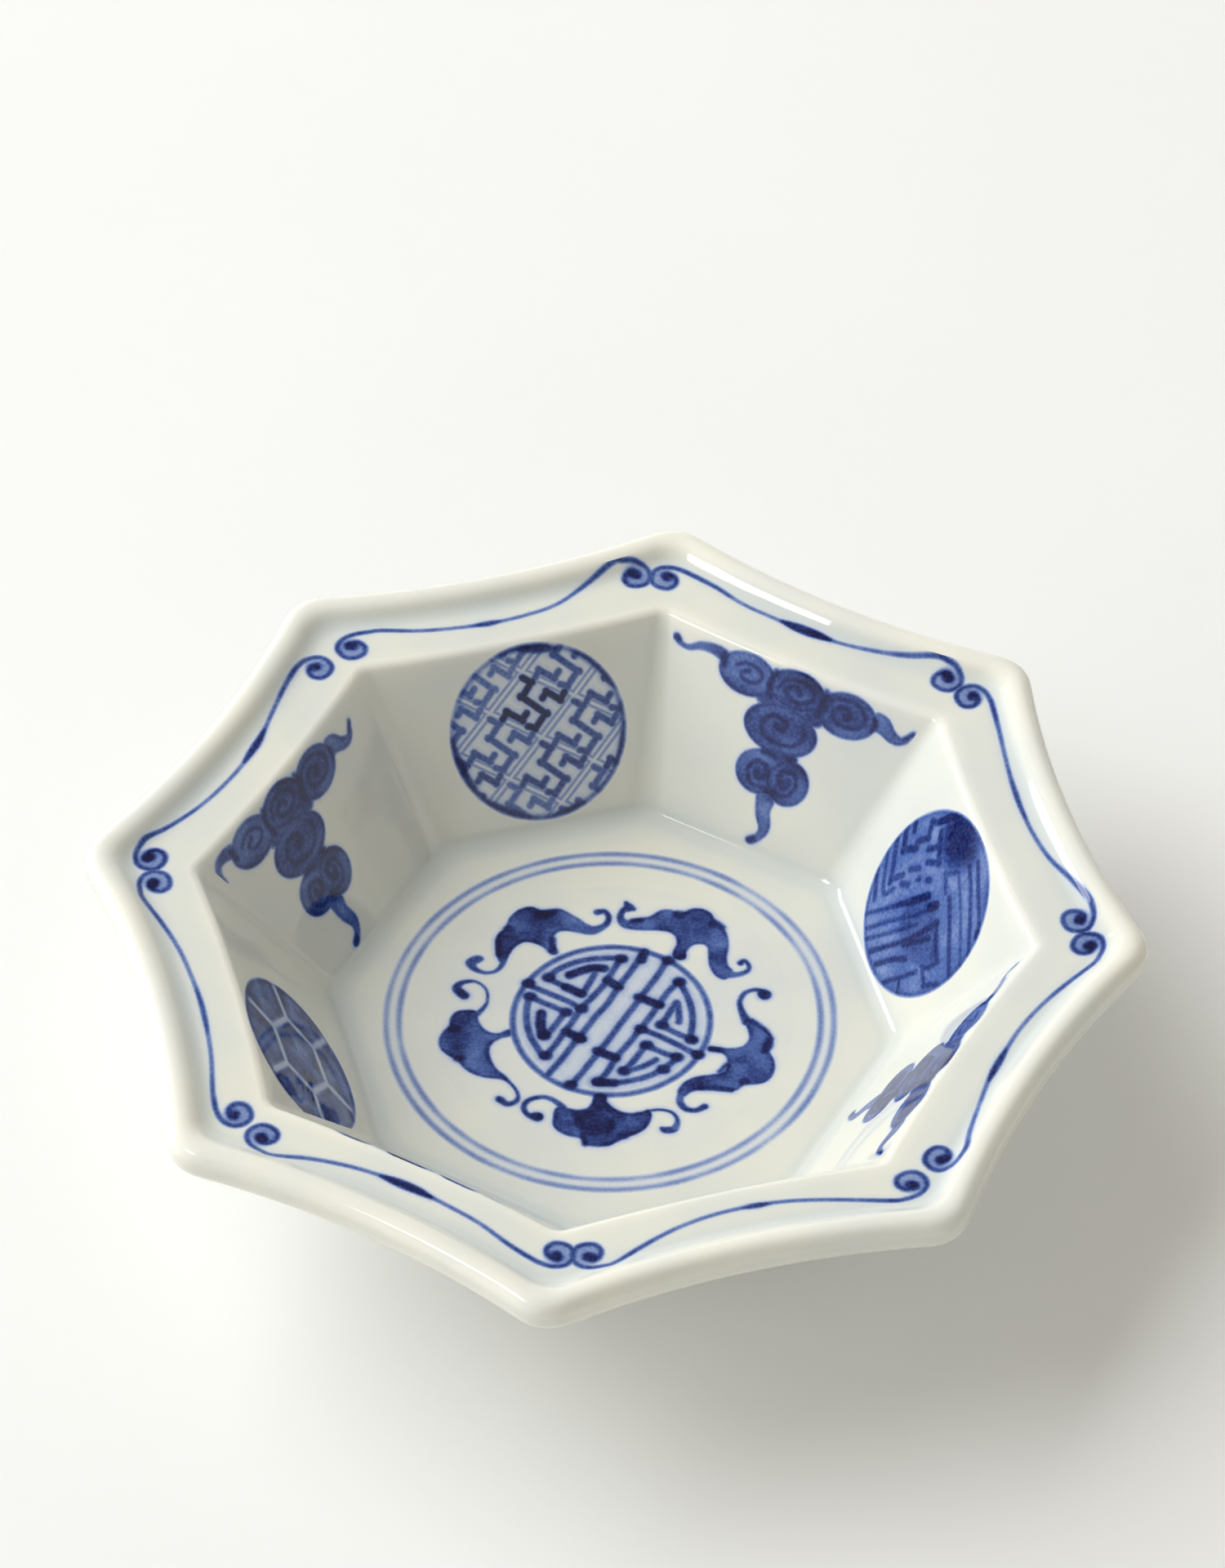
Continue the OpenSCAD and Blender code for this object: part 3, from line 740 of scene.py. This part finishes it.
# Line along each side of the flange, seen with the side's middle at 0: the centre of the spiral at its start
# (place along, distance out, darkness), its distance out at STATIONS, the centre of the spiral at its end,
# and the dark touch near its middle (from, to, width, tone)
STATIONS = np.array([-12.5, -7.5, -2.5, 2.5, 7.5, 12.5, 17.5])
RIM_LINES = [
    ((-19.4, 59.5, .95), (60.9, 59.4, 58.7, 58.6, 58.9, 59.5, 60.2), (24.6, 58.3, .6), (.5, 9.5, .8, .4)),
    ((-19.4, 59.9, .95), (60.9, 59.7, 58.9, 58.7, 58.8, 59.1, 60.1), (24.6, 58.2, .65), (-1.5, 6, 1.5, .85)),
    ((-19.8, 60.0, .95), (60.2, 57.7, 56.8, 56.6, 57, 57.8, 59.2), (22.3, 57, .85), (1, 4.6, 1, .5)),
    ((-18.7, 58.2, .6), (60.1, 59, 57.9, 57.5, 57.7, 58.5, 60), (23.5, 58.9, .9), (-4.8, 1.8, 1.1, .8)),
    ((-20.5, 58.6, .95), (59.4, 58.3, 57.8, 57.6, 57.9, 58.5, 59.5), (22.7, 57.4, .5), (0, 8, .75, .4)),
    ((-19.5, 58.2, .9), (58.7, 57.2, 56.4, 56.2, 56.5, 57, 58.2), (24, 56.4, .75), (-2.6, 5, 1.4, .8)),
    ((-19.2, 58.1, .95), (58.8, 57, 56, 55.8, 56.2, 57.3, 58.8), (24.3, 57.6, .8), (2.4, 5.4, 1, .5)),
    ((-18, 59.3, .9), (60.8, 59.6, 58.6, 58.2, 58.1, 58.7, 59.9), (25, 59, .85), (-3, 3, 1, .65)),
]
# Spiral at the end of a line, from where the line comes in over it to its middle
SPIRAL = np.array([
    (-2.9, 2.4), (-1.2, 2.5), (.5, 2.2), (1.8, 1.2), (2.05, -.2), (1.3, -1.5), (0, -1.85), (-1.3, -1.4),
    (-1.75, -.2), (-1.1, .8), (-.1, .95), (.45, .35), (0, .1),
])


def rim_painting(x, y):
    """A line along each side of the flange that curls into a washed spiral at both its ends."""
    lines, washes, dots = [], [], []
    curled = np.ones(len(SPIRAL))
    swell = np.concatenate([.7 * curled, [.65, .6, .6, .6, .6, .6, .65], .7 * curled])
    ink = np.concatenate([.68 * curled, [.6, .52, .5, .5, .5, .52, .6], .68 * curled])
    for k, (start, heights, end, touch) in enumerate(RIM_LINES):
        turn = HALF * (2 * k + 1)
        along_side = np.array([[-math.sin(turn), math.cos(turn)], [math.cos(turn), math.sin(turn)]])
        into = SPIRAL + np.array(end[:2])
        back = (SPIRAL * np.array([-1, 1]) + np.array(start[:2]))[::-1]
        path = np.concatenate([back, np.column_stack([STATIONS, heights]), into])
        lines.append(brush(x, y, np.column_stack([path @ along_side, swell]), 1, ink))
        for t, out, dark in (start, end):
            washes.append(pooled(depth_in(x, y, oval(t, out, 1.9, 1.75) @ along_side), .3, 0, .5))
            blot = np.array([(t - .15, out + .35), (t + .25, out + .6)]) @ along_side
            dots.append(brush(x, y, blot, 1.5, dark, .45))
        t = np.linspace(*touch[:2], 5)
        accent = np.column_stack([t, np.interp(t, STATIONS, heights)]) @ along_side
        width = touch[2] * np.array([.4, .85, 1, .85, .4])
        dots.append(brush(x, y, np.column_stack([accent, width]), 1, touch[3], .3))
    stain = over(strongest(x, *lines), strongest(x, *washes), strongest(x, *dots))
    return stain * (1 + .15 * mottle(x, y, 2, 13))


# Colour, nodes and finishes
def linear(code):
    """Linear red, green, blue and alpha of an sRGB hex colour."""
    part = np.array([int(code[i:i + 2], 16) for i in (1, 3, 5)]) / 255
    return (*np.where(part <= .04045, part / 12.92, ((part + .055) / 1.055) ** 2.4).tolist(), 1.0)


def add(tree, kind, settings=None, inputs=None, stops=None):
    """Adds one node; settings are its own fields, inputs are values, sockets to link or nodes, which stand
    for their first output, and stops are its ramp."""
    made = tree.nodes.new("ShaderNode" + kind)
    for field, value in (settings or {}).items():
        setattr(made, field, value)
    for socket, value in (inputs or {}).items():
        value = value.outputs[0] if isinstance(value, bpy.types.Node) else value
        if isinstance(value, bpy.types.NodeSocket):
            tree.links.new(value, made.inputs[socket])
        else:
            made.inputs[socket].default_value = value
    if stops:
        ramp = made.color_ramp.elements
        while len(ramp) < len(stops):
            ramp.new(.5)
        for knot, (place, code) in zip(ramp, stops):
            knot.position, knot.color = place, linear(code)
    return made


def finish(name):
    """New material with an empty node tree, and that tree."""
    made = bpy.data.materials.new(name)
    made.use_nodes = True
    made.node_tree.nodes.clear()
    return made, made.node_tree


# Glazed porcelain, fired white: a hard clear gloss over a white that is cool where the glaze pools
# in the hollows and warm where it runs thin over the edges, with slow waves from the pressing, and the
# cobalt stain under the glaze, so the painting shines as the white does
glaze, tree = finish("glazed_porcelain_with_cobalt")
spot = add(tree, "TexCoord")
# Noises by size in millimetres and detail: clouding of the glaze; grain of the ground cobalt, a little
# coarser than the real one so that it shows; waves of the pressed clay; faint orange peel of the glaze
cloud, grain, wave, peel = (
    add(tree, "TexNoise", inputs={
        "Vector": spot.outputs["Object"], "Scale": 1 / (size * MM), "Detail": fine})
    for size, fine in ((22, 2.0), (.5, 3.0), (9, 1.0), (.9, 1.0)))
cobalt = add(tree, "Attribute", {"attribute_name": "cobalt"})
pool = add(tree, "Attribute", {"attribute_name": "glaze_depth"})
white = add(tree, "ValToRGB", inputs={"Fac": add(tree, "MapRange", inputs={
    "Value": pool.outputs["Fac"], "From Min": -1.0, "From Max": 1.0})},
    stops=[(.1, "#EDECE3"), (.5, "#E2E3DB"), (.9, "#D6DBD8")])
tint = add(tree, "ValToRGB", inputs={"Fac": cloud}, stops=[(.35, "#F4F6F8"), (.65, "#FFFEF9")])
ground = add(tree, "Mix", {"data_type": "RGBA", "blend_type": "MULTIPLY"}, {0: 1.0, 6: white, 7: tint})
uneven = add(tree, "MapRange", inputs={
    "Value": grain, "From Min": .3, "From Max": .7, "To Min": .86, "To Max": 1.12})
strength = add(tree, "Math", {"operation": "MULTIPLY", "use_clamp": True}, {
    0: cobalt.outputs["Fac"], 1: uneven})
blue = add(tree, "ValToRGB", inputs={"Fac": strength}, stops=[
    (0, "#CBD2DB"), (.12, "#BEC8D7"), (.25, "#90A0C4"), (.5, "#4D66A4"), (.7, "#2A3E7C"), (.85, "#18235B"),
    (1, "#05083C")])
cover = add(tree, "MapRange", {"interpolation_type": "SMOOTHSTEP"}, {"Value": strength, "From Max": .14})
colour = add(tree, "Mix", {"data_type": "RGBA"}, {0: cover, 6: ground.outputs[2], 7: blue})
swell = add(tree, "Bump", inputs={"Strength": .35, "Distance": .12 * MM, "Height": wave})
skin = add(tree, "Bump", inputs={"Strength": .12, "Distance": .01 * MM, "Height": peel, "Normal": swell})
shine = add(tree, "MapRange", inputs={"Value": cloud, "To Min": .025, "To Max": .05})
shell = add(tree, "BsdfPrincipled", inputs={
    "Base Color": colour.outputs[2], "Roughness": shine, "IOR": 1.5, "Normal": skin})
add(tree, "OutputMaterial", inputs={"Surface": shell})

# Porcelain foot: glazed like the body, but wiped bare where it stands, where the biscuit is dull,
# faintly cream and rubbed grey by use
foot_finish, tree = finish("porcelain_foot_wiped_bare")
spot = add(tree, "TexCoord")
level = add(tree, "SeparateXYZ", inputs={"Vector": spot.outputs["Object"]})
# Noises by size in millimetres and detail: the wander of the wiped line round the ring, by half a millimetre
# up or down, and the grit of the biscuit
wander, grit = (
    add(tree, "TexNoise", inputs={
        "Vector": spot.outputs["Object"], "Scale": 1 / (size * MM), "Detail": fine})
    for size, fine in ((6, 2.0), (.4, 4.0)))
edge = add(tree, "Math", {"operation": "MULTIPLY_ADD"}, {0: wander, 1: 1.2 * MM, 2: level.outputs["Z"]})
bare = add(tree, "MapRange", inputs={
    "Value": edge, "From Min": 1.7 * MM, "From Max": 2.0 * MM, "To Min": 1.0, "To Max": 0.0})
clay = add(tree, "ValToRGB", inputs={"Fac": grit}, stops=[(.3, "#CFC7B6"), (.7, "#E8E2D4")])
colour = add(tree, "Mix", {"data_type": "RGBA"}, {0: bare, 6: linear("#E7EAE6"), 7: clay})
dull = add(tree, "MapRange", inputs={"Value": bare, "To Min": .1, "To Max": .75})
rough = add(tree, "Math", {"operation": "MULTIPLY"}, {0: grit, 1: bare})
bump = add(tree, "Bump", inputs={"Strength": .4, "Distance": .05 * MM, "Height": rough})
shell = add(tree, "BsdfPrincipled", inputs={
    "Base Color": colour.outputs[2], "Roughness": dull, "IOR": 1.5, "Normal": bump})
add(tree, "OutputMaterial", inputs={"Surface": shell})

# The body and its foot
ring_x, ring_y = outline(section[:, 0], *BODY_STEPS, 0)
body = make_shell(
    "porcelain_body", ring_x, ring_y, section[:, 1:2], {"glaze_depth": glaze_depth})
body.data.materials.append(glaze)
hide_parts("bowl_body")

FOOT_A = outside_a(FOOT_H) - BASE_ROUND * PANEL_BEND - FOOT_INSET
foot_line = rounded([
    (FOOT_A, FOOT_H, 0),
    (FOOT_A - FOOT_LEAN, 0, FOOT_ROUND),
    (FOOT_A - FOOT_W + FOOT_LEAN, 0, FOOT_ROUND),
    (FOOT_A - FOOT_W, FOOT_H, 0),
], FOOT_FACET)
# The section of the foot goes round the axis and is closed across its top, where it joins the body
turn = np.linspace(0, 2 * math.pi, FOOT_TURNS, endpoint=False)
foot_grid = spots(foot_line[:, :1] * np.cos(turn), foot_line[:, :1] * np.sin(turn), foot_line[:, 1:2])
foot = make_ring("porcelain_foot", foot_grid, len(foot_line) - 1, {})
foot.data.materials.append(foot_finish)
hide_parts("foot_ring")


def disc_grid(steps):
    """Square grid pulled to a disc of radius 1: each axis shrinks by the root of 1 less half the other
    squared. The third result is the way in from the edge."""
    s, t = np.meshgrid(np.linspace(-1, 1, steps + 1), np.linspace(-1, 1, steps + 1))
    return s * np.sqrt(1 - t * t / 2), t * np.sqrt(1 - s * s / 2), 1 - np.maximum(np.abs(s), np.abs(t))


def depth_at(v):
    """Depth of the glaze at a height up the panel, as on the body."""
    return np.interp(v + PANEL_FOOT, along, glaze_depth)


def paint_floor():
    """Flat disc in the middle of the floor."""
    x, y, share = disc_grid(FLOOR_DISC_STEPS)
    x, y = FLOOR_DISC_R * x, FLOOR_DISC_R * y
    skin, root = spots(x, y, FLOOR_Z + skin_lift(share)), spots(x, y, FLOOR_Z + ROOT)
    values = {"cobalt": floor_painting(x, y), "glaze_depth": 0 * x}
    return make_painting("cobalt_floor_fret_and_bats", skin, root, values)


def paint_rings():
    """Flat ring on the floor that carries the two fine lines."""
    radius = np.linspace(RING_FROM, RING_TO, RING_ROWS)
    turn = np.linspace(0, 2 * math.pi, RING_COLUMNS, endpoint=False)
    r, angle = np.meshgrid(radius, turn, indexing="ij")
    x, y = r * np.cos(angle), r * np.sin(angle)
    skin = spots(x, y, FLOOR_Z + skin_lift(np.minimum(r - RING_FROM, RING_TO - r) / BAND_EDGE))
    root = spots(x, y, FLOOR_Z + ROOT)[[0, -1]]
    return make_band("cobalt_floor_rings", skin, root, {"cobalt": ring_painting(x, y), "glaze_depth": 0 * x})


def paint_roundel(name, side, cu, cv, painting):
    """Disc that follows a panel, round the middle of its painting."""
    u, v, share = disc_grid(ROUNDEL_STEPS)
    u, v = cu + ROUNDEL_DISC_R * u, cv + ROUNDEL_DISC_R * v
    values = {"cobalt": painting(u, v, cu, cv), "glaze_depth": depth_at(v)}
    return make_painting(name, on_panel(side, u, v, skin_lift(share)), on_panel(side, u, v, ROOT), values)


def paint_cloud(name, side, shift, rise, slant=0.0, wisp=CLOUD_WISP):
    """Sheet that follows a panel from edge to edge; its painting is shifted sideways and up, and leans by
    slant away from the level of its top lobes."""
    levels = np.linspace(CLOUD_LOW, CLOUD_HIGH, CLOUD_STEPS[1])
    share, v = np.meshgrid(np.linspace(-1, 1, CLOUD_STEPS[0]), levels)
    a, _ = inside_at(v + PANEL_FOOT, 0)
    bow, trim = side_at(a)
    u = share * ((a + bow) * math.tan(HALF) - trim)
    stain = cloud_painting(u - shift - slant * (v - CLOUD_LEVEL), v - rise, wisp)
    values = {"cobalt": stain, "glaze_depth": depth_at(v)}
    inset = np.minimum(1 - np.abs(share), np.minimum(v - CLOUD_LOW, CLOUD_HIGH - v) / CLOUD_EDGE)
    return make_painting(name, on_panel(side, u, v, skin_lift(inset)), on_panel(side, u, v, ROOT), values)


def paint_rim():
    """Ring that follows the flange from the crease over the hollow of the lip: it takes the section's own
    places, and on straight runs places between them."""
    begin, end = (PANEL_FOOT + PANEL_L + past for past in (RIM_FROM, RIM_TO))
    place = np.concatenate([[begin], along[(along > begin + RIM_GAP) & (along < end - RIM_GAP)], [end]])
    steps = np.ceil(np.diff(place) / RIM_ROW).astype(int)
    runs = [np.linspace(*pair, many, endpoint=False) for *pair, many in zip(place[:-1], place[1:], steps)]
    length = np.concatenate([*runs, [end]])
    rings = []
    for lift in (skin_lift(np.minimum(length - begin, end - length) / BAND_EDGE), ROOT):
        a, z = inside_at(length, lift)
        rings.append(spots(*outline(a, *RIM_STEPS, 1), z[:, None]))
    skin, root = rings[0], rings[1][np.linspace(0, len(length) - 1, RIM_ROOT_ROWS).astype(int)]
    depth = np.repeat(np.interp(length, along, glaze_depth)[:, None], skin.shape[1], axis=1)
    return make_band("cobalt_rim_scrolls", skin, root, {
        "cobalt": rim_painting(skin[..., 0], skin[..., 1]), "glaze_depth": depth})


paintings = [
    paint_floor(),
    paint_rings(),
    paint_rim(),
    paint_roundel("cobalt_stripe_roundel", 0, 1.0, 14.2, stripe_painting),
    paint_cloud("cobalt_cloud_back", 1, -.3, 0.0),
    paint_roundel("cobalt_key_fret_roundel", 2, 1.3, 14.8, key_fret_painting),
    paint_cloud("cobalt_cloud_left", 3, -5.0, 0.0, .13, BENT_WISP),
    paint_roundel("cobalt_tortoise_roundel_left", 4, -6.2, 15.9, tortoise_painting),
    paint_cloud("cobalt_cloud_front", 5, 0.0, .9),
    paint_roundel("cobalt_tortoise_roundel_front", 6, 0.0, 15.4, tortoise_painting),
    paint_cloud("cobalt_cloud_right", 7, -.3, .6),
]
for painting in paintings:
    painting.data.materials.append(glaze)


# Pale table and a low backdrop far behind, in metres
STAGE_TURNS, TABLE_IN, TABLE_R, BACKDROP_H = 96, .4, 3.0, 1.4


def make_stage(name, rings):
    """Skin over circles of the given radius and level, closed in the middle where all are level."""
    angle = np.linspace(0, 2 * math.pi, STAGE_TURNS, endpoint=False)
    points = np.concatenate([
        np.stack([r * np.cos(angle), r * np.sin(angle), np.full_like(angle, z)], axis=1) for r, z in rings])
    faces = quads(len(rings), STAGE_TURNS, True).tolist()
    if rings[0][1] == rings[-1][1]:
        faces.append(list(range(STAGE_TURNS)))
    mesh = bpy.data.meshes.new(name)
    mesh.from_pydata(points.tolist(), [], faces)
    made = bpy.data.objects.new(name, mesh)
    bpy.context.collection.objects.link(made)
    return made


def lifted(tree, plain, code, share):
    """Ends a material with a share of an even glow to the camera and in reflections, and plain to all
    other light."""
    ray = add(tree, "LightPath")
    seen = ray.outputs["Is Camera Ray"]
    for kind in ("Is Glossy Ray", "Is Transmission Ray"):
        seen = add(tree, "Math", {"operation": "MAXIMUM"}, {0: seen, 1: ray.outputs[kind]})
    part = add(tree, "Math", {"operation": "MULTIPLY"}, {0: seen, 1: share})
    glow = add(tree, "Emission", inputs={"Color": linear(code), "Strength": 1.0})
    both = add(tree, "MixShader", inputs={0: part, 1: plain, 2: glow})
    add(tree, "OutputMaterial", inputs={"Surface": both})


# Painted board, matt and pale, with its shadows lifted a little to the eye
board, tree = finish("matt_white_board")
spot = add(tree, "TexCoord")
# Slow unevenness of the paint, about 120 mm across
fleck = add(tree, "TexNoise", inputs={
    "Vector": spot.outputs["Object"], "Scale": 1 / (120 * MM), "Detail": 2.0})
colour = add(tree, "ValToRGB", inputs={"Fac": fleck}, stops=[(.3, "#EDEDEB"), (.7, "#F0F0EE")])
shell = add(tree, "BsdfPrincipled", inputs={
    "Base Color": colour, "Roughness": .9, "Specular IOR Level": .1})
lifted(tree, shell, "#F6F6F4", .15)
table = make_stage("table", [(TABLE_IN, 0.0), (TABLE_R, 0.0)])
table.data.materials.append(board)

# Backdrop: pale to the camera and in reflections, plain white board to all other light
screen, tree = finish("lit_backdrop")
matt = add(tree, "BsdfDiffuse", inputs={"Color": linear("#F1F1EF")})
lifted(tree, matt, "#F3F3F1", 1.0)
backdrop = make_stage("backdrop", [(TABLE_R, 0.0), (TABLE_R, BACKDROP_H)])
backdrop.data.materials.append(screen)

# Dim warm room, and lamps as (name, place, size, watts, lights, mirrors), turned to AIM: a broad cool window
# to the left and a low one under it, behind a cloth that the glaze doesn't mirror, and two small panes that
# draw the thin streaks on the lip, of which only the far one also lights the bowl
world = bpy.data.worlds.new("room")
world.use_nodes = True
world.node_tree.nodes["Background"].inputs["Color"].default_value = linear("#FFF8E8")
world.node_tree.nodes["Background"].inputs["Strength"].default_value = .33
bpy.context.scene.world = world
AIM = Vector((0, 0, .02))
LAMPS = [
    ("window", (-1.573, 0.451, 1.755), (2.6, 1.7), 60.0, True, False),
    ("low_window", (-2.248, -0.396, 0.762), (1.6, .6), 6.5, True, False),
    ("side_pane", (-1.453, -0.647, 1.797), (.6, .45), 8.5, False, True),
    ("far_pane", (-2.091, 0.600, 1.014), (.8, .55), 10.0, True, True),
]
for name, place, size, watts, lights, mirrors in LAMPS:
    lamp = bpy.data.lights.new(name, "AREA")
    lamp.shape, lamp.size, lamp.size_y, lamp.energy = "RECTANGLE", *size, watts
    lamp.color = linear("#FAFCFF")[:3]
    lit = bpy.data.objects.new(name, lamp)
    lit.location = place
    lit.visible_diffuse, lit.visible_glossy = lights, mirrors
    lit.rotation_mode = "QUATERNION"
    lit.rotation_quaternion = (AIM - Vector(place)).to_track_quat("-Z", "Y")
    bpy.context.collection.objects.link(lit)

# Camera: a long lens on the near side, which looks at the floor of the bowl and is then tilted up and
# levelled; its rise, turn and roll are in degrees
CAMERA_RISE, CAMERA_TURN, CAMERA_ROLL = (math.radians(angle) for angle in (48.406, -82.627, -.257))
CAMERA_FAR, IMAGE_H, FOCAL_PX, FLOOR_BELOW_PX, SENSOR = .9002, 1920, 8000, 287.0, 36
level_way = Vector((math.cos(CAMERA_TURN), math.sin(CAMERA_TURN), 0))
toward = level_way * math.cos(CAMERA_RISE) + Vector((0, 0, math.sin(CAMERA_RISE)))
lens = bpy.data.cameras.new("camera")
lens.sensor_fit, lens.sensor_width, lens.sensor_height = "VERTICAL", SENSOR, SENSOR
lens.lens = FOCAL_PX / IMAGE_H * SENSOR
lens.clip_start, lens.clip_end = .05, 20
camera = bpy.data.objects.new("camera", lens)
bpy.context.collection.objects.link(camera)
look = (-toward).to_track_quat("-Z", "Y").to_matrix()
look = look @ Matrix.Rotation(math.atan(FLOOR_BELOW_PX / FOCAL_PX), 3, "X")
look = look @ Matrix.Rotation(CAMERA_ROLL, 3, "Z")
camera.matrix_world = Matrix.Translation(Vector((0, 0, FLOOR_Z * MM)) + toward * CAMERA_FAR) @ look.to_4x4()
bpy.context.scene.camera = camera
bpy.context.scene.view_settings.view_transform = "Standard"
